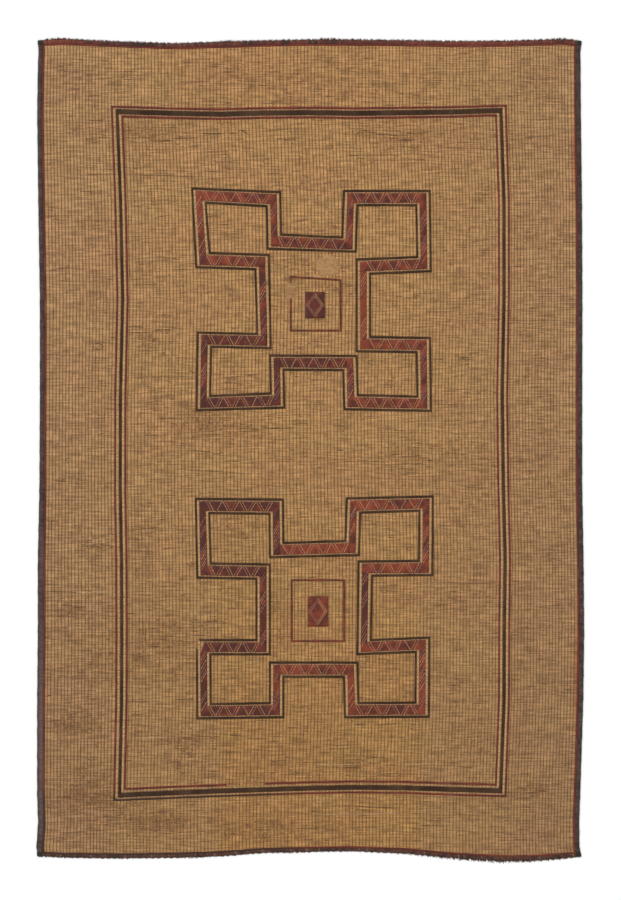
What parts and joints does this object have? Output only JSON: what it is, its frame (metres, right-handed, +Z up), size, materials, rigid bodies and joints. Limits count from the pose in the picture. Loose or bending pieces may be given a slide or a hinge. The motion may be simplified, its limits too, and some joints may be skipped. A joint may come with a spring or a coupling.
{
  "type": "tuareg mat",
  "caption": "Large flat floor mat of split reeds held by lengthwise leather thongs, with a leather strip frame, two stepped crosses and leather-bound edges.",
  "frame": {"origin": "under the middle of the mat's footprint, on the floor", "axes": "+Z up from the floor, +Y along the mat's length towards the end whose cross has the larger worn break, +X across it"},
  "size_m": [2.435, 3.6576, 0.0057],
  "materials": {
    "reeds": "matt split reeds with darker leather thongs",
    "dark_leather": "matt, worn",
    "red_leather": "matt, worn, embroidered on the crosses",
    "binding_leather": "dark grey-brown with pale scuffs",
    "end_leather": "red-brown with blackish patches"
  },
  "bodies": {
    "root": {"cross_lower_bar_bottom": "red_leather", "cross_lower_bar_left": "red_leather", "cross_lower_bar_right": "red_leather", "cross_lower_bar_top": "red_leather", "cross_lower_block_bottom_left": "red_leather", "cross_lower_block_bottom_right": "red_leather", "cross_lower_block_top_left": "red_leather", "cross_lower_block_top_right": "red_leather", "cross_lower_inner_line_bottom_left": "dark_leather", "cross_lower_inner_line_bottom_right": "dark_leather", "cross_lower_inner_line_top_left": "dark_leather", "cross_lower_inner_line_top_right": "dark_leather", "cross_lower_outer_line_bottom_left": "dark_leather", "cross_lower_outer_line_bottom_right": "dark_leather", "cross_lower_outer_line_top_left": "dark_leather", "cross_lower_outer_line_top_right": "dark_leather", "cross_lower_patch": "red_leather", "cross_lower_square_line": "red_leather", "cross_upper_bar_bottom": "red_leather", "cross_upper_bar_left": "red_leather", "cross_upper_bar_right": "red_leather", "cross_upper_bar_top": "red_leather", "cross_upper_block_bottom_left": "red_leather", "cross_upper_block_bottom_right": "red_leather", "cross_upper_block_top_left": "red_leather", "cross_upper_block_top_right": "red_leather", "cross_upper_inner_line_bottom_left": "dark_leather", "cross_upper_inner_line_bottom_right": "dark_leather", "cross_upper_inner_line_top_left": "dark_leather", "cross_upper_inner_line_top_right": "dark_leather", "cross_upper_outer_line_bottom_left": "dark_leather", "cross_upper_outer_line_bottom_right": "dark_leather", "cross_upper_outer_line_top_left": "dark_leather", "cross_upper_outer_line_top_right": "dark_leather", "cross_upper_patch": "red_leather", "cross_upper_square_line": "red_leather", "end_binding_bottom": "end_leather", "end_binding_top": "end_leather", "end_line_bottom": "red_leather", "end_line_top": "red_leather", "frame_band_bottom": "dark_leather", "frame_band_left": "dark_leather", "frame_band_right": "dark_leather", "frame_band_top": "dark_leather", "frame_line_inner_bottom_left": "red_leather", "frame_line_inner_bottom_right": "red_leather", "frame_line_inner_left": "red_leather", "frame_line_inner_right": "red_leather", "frame_line_inner_top": "red_leather", "frame_line_outer_bottom": "red_leather", "frame_line_outer_left": "red_leather", "frame_line_outer_right": "red_leather", "frame_line_outer_top": "red_leather", "reed_field": "reeds", "side_binding_left": "binding_leather", "side_binding_right": "binding_leather", "side_line_left": "red_leather", "side_line_right": "red_leather"}
  },
  "joints": []
}
